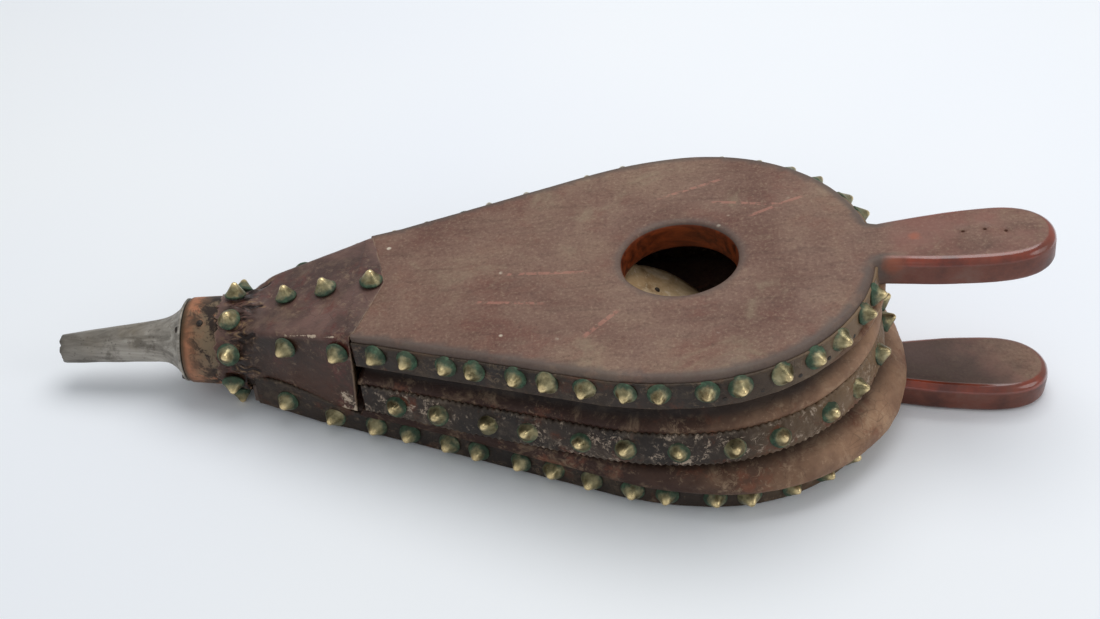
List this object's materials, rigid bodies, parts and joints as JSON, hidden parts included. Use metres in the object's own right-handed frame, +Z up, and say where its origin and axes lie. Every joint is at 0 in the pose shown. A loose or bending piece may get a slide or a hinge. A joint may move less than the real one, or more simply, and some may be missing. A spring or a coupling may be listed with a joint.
{
  "type": "hand bellows",
  "caption": "Tear-drop hand bellows for a forge: two wooden boards with handles, a leather gusset on a wooden rib, a stitched leather cuff, conical studs and a cast nozzle.",
  "frame": {"origin": "middle of the footprint, on the surface the lower board lies on", "axes": "+X from the nozzle towards the handles, +Z up through the intake hole in the upper board"},
  "size_m": [0.516, 0.198, 0.1029],
  "materials": {
    "varnished_wood": "satin",
    "head_wood": "matte",
    "inner_wood": "matte",
    "dark_leather": "satin",
    "gusset_leather": "matte",
    "valve_leather": "matte",
    "aged_brass": "satin",
    "grey_metal": "matte",
    "dark_iron": "matte"
  },
  "bodies": {
    "lower_part": {"lower_board": "varnished_wood", "head_block": "head_wood", "head_screws": "dark_iron", "nozzle": "grey_metal", "nozzle_nails": "dark_iron", "neck_tack": "dark_iron", "front_cuff": "dark_leather", "neck_ring_studs": "aged_brass", "cuff_studs": "aged_brass", "lower_edge_strip": "dark_leather", "lower_row_studs": "aged_brass", "lower_leather": "gusset_leather"},
    "rib": {"rib_frame": "inner_wood", "rib_edge_strip": "dark_leather", "rib_row_studs": "aged_brass"},
    "upper_part": {"upper_board": "varnished_wood", "upper_edge_strip": "dark_leather", "upper_row_studs": "aged_brass", "upper_leather": "gusset_leather", "upper_edge_tacks": "dark_iron", "cuff_flap": "dark_leather", "cuff_flap_stud": "aged_brass", "valve_hinge_strip": "valve_leather", "valve_batten": "inner_wood", "valve_tacks": "dark_iron"},
    "valve": {"valve_flap": "valve_leather", "valve_backing": "inner_wood", "backing_tacks": "dark_iron"}
  },
  "joints": [
    {"name": "board_hinge", "type": "hinge", "parent": "lower_part", "child": "upper_part", "pos_m": [-0.096, 0, 0.0652], "axis": [0, -1, 0], "range_deg": [-7.5, 12], "deforming": ["lower_leather", "upper_leather"]},
    {"name": "rib_hinge", "type": "hinge", "parent": "lower_part", "child": "rib", "pos_m": [-0.096, 0, 0.0652], "axis": [0, -1, 0], "range_deg": [-3.75, 6], "deforming": ["lower_leather", "upper_leather"]},
    {"name": "valve_hinge", "type": "hinge", "parent": "upper_part", "child": "valve", "pos_m": [0.03298, 0, 0.06334], "axis": [0, 1, 0], "range_deg": [-33.75, 54]}
  ],
  "couplings": [
    {"joint": "rib_hinge", "follows": "board_hinge", "ratio": 0.5},
    {"joint": "valve_hinge", "follows": "board_hinge", "ratio": 4.5}
  ]
}
